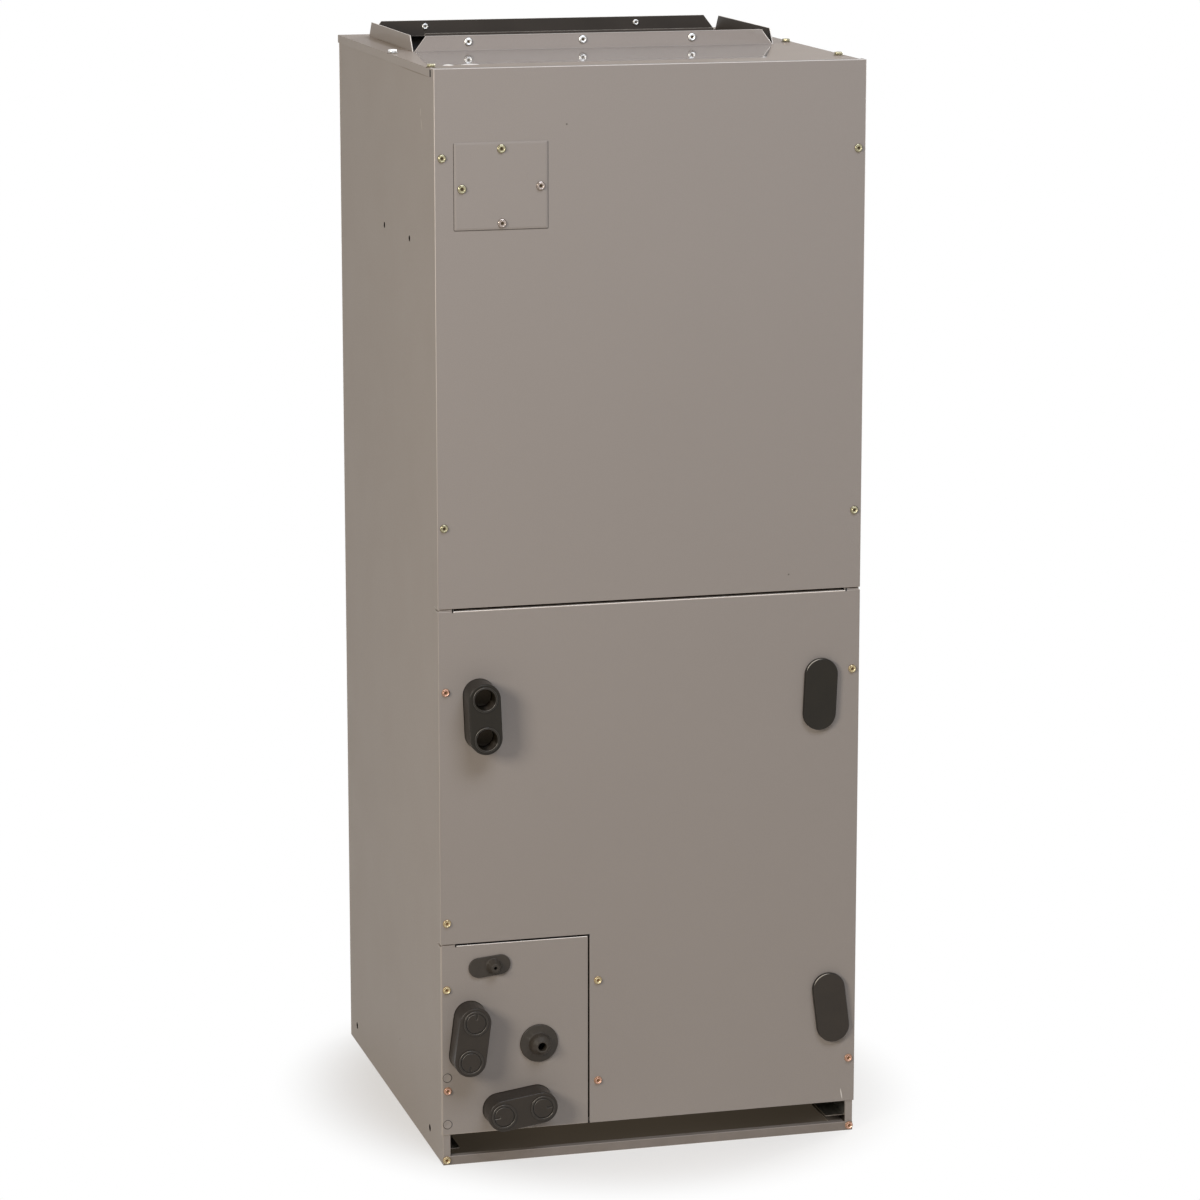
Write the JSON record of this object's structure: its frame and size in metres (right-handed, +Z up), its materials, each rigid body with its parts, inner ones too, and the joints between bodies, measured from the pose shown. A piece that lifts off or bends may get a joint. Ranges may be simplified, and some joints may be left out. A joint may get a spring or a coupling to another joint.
{
  "type": "air handling unit",
  "caption": "Upright sheet steel air handling unit with screwed doors, drain and line fittings, a filter slot at the foot and a flanged supply opening on top.",
  "frame": {"origin": "on the floor under the middle of the unit's box", "axes": "+Z up, +X to the right of a person who faces the doors, +Y from the doors to the back"},
  "size_m": [0.537, 0.594, 1.3778],
  "materials": {
    "casing_paint": "satin taupe grey coil coating",
    "backer_coat": "dark primer on the inner side of the sheet",
    "galvanized": "zinc coated sheet",
    "drain_plastic": "moulded black plastic",
    "line_rubber": "black rubber",
    "insulation": "black faced glass fibre mat",
    "coil_fins": "thin bare fins",
    "motor_paint": "black motor enamel"
  },
  "bodies": {
    "root": {"left_side": "casing_paint", "right_side": "casing_paint", "back_panel": "casing_paint", "top_panel": "casing_paint", "base_rail": "casing_paint", "slot_rail": "casing_paint", "panel_frame": "casing_paint", "middle_rail": "backer_coat", "upper_door": "casing_paint", "lower_door": "casing_paint", "fitting_panel": "casing_paint", "breaker_cover": "casing_paint", "duct_flange_front": "casing_paint", "duct_flange_back": "casing_paint", "duct_flange_left": "casing_paint", "duct_flange_right": "casing_paint", "flange_backing": "backer_coat", "drain_boss_upper": "drain_plastic", "drain_boss_left": "drain_plastic", "drain_boss_lower": "drain_plastic", "plug_upper": "drain_plastic", "plug_lower": "drain_plastic", "line_grommet_round": "line_rubber", "line_grommet_small": "line_rubber", "liner_left": "insulation", "liner_right": "insulation", "liner_back": "insulation", "filter_rail_left": "galvanized", "filter_rail_right": "galvanized", "drain_pan": "drain_plastic", "side_pan": "drain_plastic", "coil_left": "coil_fins", "coil_right": "coil_fins", "coil_plate_front": "galvanized", "coil_plate_back": "galvanized", "coil_cap": "galvanized", "blower_deck": "galvanized", "blower_wrap": "galvanized", "blower_side_left": "galvanized", "blower_side_right": "galvanized", "blower_wheel": "galvanized", "blower_motor": "motor_paint", "motor_bracket": "galvanized"}
  },
  "joints": []
}
